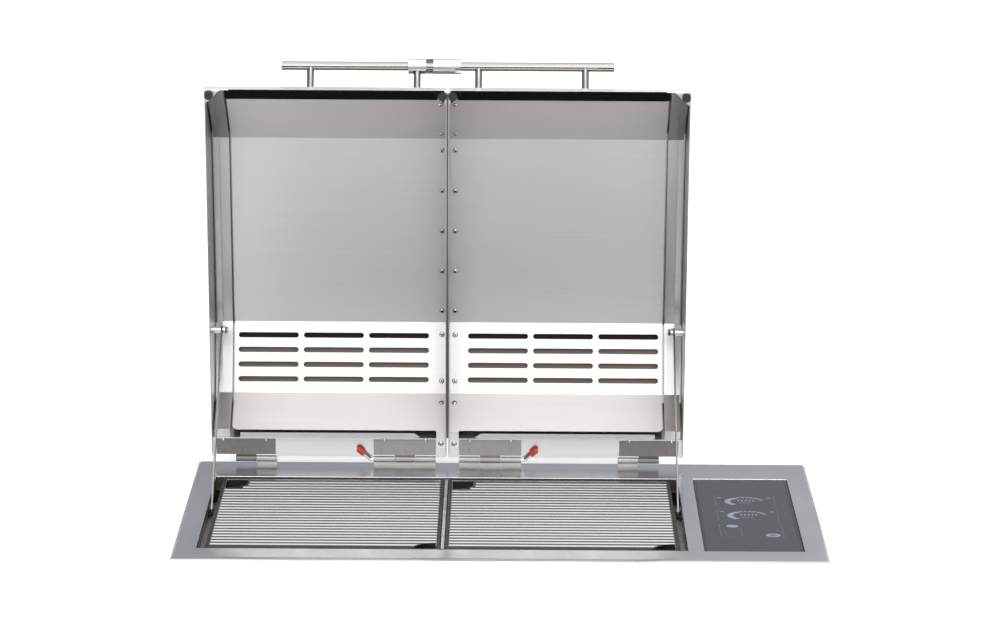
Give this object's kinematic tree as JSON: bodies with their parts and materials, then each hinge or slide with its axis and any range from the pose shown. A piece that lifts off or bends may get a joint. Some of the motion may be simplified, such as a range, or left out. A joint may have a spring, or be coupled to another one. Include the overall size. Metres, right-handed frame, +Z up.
{
  "type": "built-in electric grill",
  "caption": "Built-in electric grill: flanged top plate, ribbed grates, touch glass, and side-by-side hinged lids with stays and coupled tube handles.",
  "frame": {"origin": "middle of the chassis underside, under the middle of the top plate", "axes": "+X to the cook's right, +Y to the back, +Z up; lids at rest stand open"},
  "size_m": [0.775, 0.5976, 0.6436],
  "materials": {
    "brushed_stainless": "brushed along the plate",
    "lid_stainless": "fine brushed",
    "mill_stainless": "mill finish",
    "bead_blasted_stainless": "bead blasted",
    "polished_stainless": "polished",
    "satin_stainless": "satin",
    "cast_aluminium": "cast, hard anodised",
    "heater_sheath": "oxidised",
    "black_silicone": "matte",
    "black_rubber": "matte",
    "black_nylon": "moulded",
    "red_vinyl": "dipped",
    "dark_glass": "tinted, polished",
    "circuit_board": "lacquered",
    "ivory_plastic": "moulded"
  },
  "bodies": {
    "base": {"chassis_wrap": "mill_stainless", "chassis_end_left": "mill_stainless", "chassis_end_right": "mill_stainless", "counter_gasket": "black_silicone", "top_plate": "brushed_stainless", "firebox_pan": "mill_stainless", "heat_shield": "mill_stainless", "grate_ledges": "mill_stainless", "centre_bridge": "mill_stainless", "stay_track_left": "mill_stainless", "stay_track_right": "mill_stainless", "element_left": "heater_sheath", "element_right": "heater_sheath", "element_supports": "mill_stainless", "drip_pan_left": "mill_stainless", "drip_pan_right": "mill_stainless", "temperature_probes": "mill_stainless", "control_box": "mill_stainless", "glass_seal": "black_silicone", "control_glass": "dark_glass", "touch_board": "circuit_board", "relay_board": "circuit_board", "terminal_block": "ivory_plastic", "cable_gland": "black_nylon", "hinge_base_outer_left": "bead_blasted_stainless", "hinge_base_inner_left": "bead_blasted_stainless", "hinge_base_outer_right": "bead_blasted_stainless", "hinge_base_inner_right": "bead_blasted_stainless", "hinge_pin_outer_left": "bead_blasted_stainless", "hinge_pin_outer_right": "bead_blasted_stainless"},
    "lid_left": {"lid_shell_left": "lid_stainless", "lid_liner_left": "lid_stainless", "liner_spacers_left": "lid_stainless", "liner_screws_left": "polished_stainless", "lid_bumpers_left": "black_rubber", "handle_left": "satin_stainless", "hinge_leaf_outer_left": "bead_blasted_stainless", "hinge_leaf_inner_left": "bead_blasted_stainless", "stay_bolt_left": "polished_stainless"},
    "lid_right": {"lid_shell_right": "lid_stainless", "lid_liner_right": "lid_stainless", "liner_spacers_right": "lid_stainless", "liner_screws_right": "polished_stainless", "lid_bumpers_right": "black_rubber", "handle_right": "satin_stainless", "hinge_leaf_outer_right": "bead_blasted_stainless", "hinge_leaf_inner_right": "bead_blasted_stainless", "stay_bolt_right": "polished_stainless"},
    "stay_left": {"stay_strap_left": "polished_stainless", "stay_shoe_left": "black_nylon"},
    "stay_right": {"stay_strap_right": "polished_stainless", "stay_shoe_right": "black_nylon"},
    "release_pin_left": {"release_pin_left": "polished_stainless", "pin_cap_left": "red_vinyl"},
    "release_pin_right": {"release_pin_right": "polished_stainless", "pin_cap_right": "red_vinyl"},
    "handle_sleeve": {"handle_sleeve": "polished_stainless"},
    "grate_left": {"grate_left": "cast_aluminium"},
    "grate_right": {"grate_right": "cast_aluminium"}
  },
  "joints": [
    {"name": "lid_left_hinge", "type": "hinge", "parent": "base", "child": "lid_left", "pos_m": [-0.219, 0.245, 0.1175], "axis": [1, 0, 0], "range_deg": [0, 76]},
    {"name": "lid_right_hinge", "type": "hinge", "parent": "base", "child": "lid_right", "pos_m": [0.081, 0.245, 0.1175], "axis": [1, 0, 0], "range_deg": [0, 76]},
    {"name": "stay_left_pivot", "type": "hinge", "parent": "lid_left", "child": "stay_left", "pos_m": [-0.3555, 0.23831, 0.28485], "axis": [1, 0, 0], "range_deg": [-105.7, 0]},
    {"name": "stay_right_pivot", "type": "hinge", "parent": "lid_right", "child": "stay_right", "pos_m": [0.2175, 0.23831, 0.28485], "axis": [1, 0, 0], "range_deg": [-105.7, 0]},
    {"name": "sleeve_slide", "type": "slide", "parent": "lid_left", "child": "handle_sleeve", "axis": [-1, 0, 0], "range_m": [0, 0.015]},
    {"name": "release_pin_left_pull", "type": "slide", "parent": "lid_left", "child": "release_pin_left", "axis": [-1, 0, 0], "range_m": [0, 0.085]},
    {"name": "release_pin_right_pull", "type": "slide", "parent": "lid_right", "child": "release_pin_right", "axis": [1, 0, 0], "range_m": [0, 0.085]},
    {"name": "grate_left_lift", "type": "slide", "parent": "base", "child": "grate_left", "axis": [0, 0, 1], "range_m": [0, 0.03]},
    {"name": "grate_right_lift", "type": "slide", "parent": "base", "child": "grate_right", "axis": [0, 0, 1], "range_m": [0, 0.03]}
  ],
  "couplings": [
    {"joint": "lid_right_hinge", "follows": "lid_left_hinge", "ratio": 1},
    {"joint": "stay_left_pivot", "follows": "lid_left_hinge", "ratio": -1.3897},
    {"joint": "stay_right_pivot", "follows": "lid_left_hinge", "ratio": -1.3897}
  ]
}
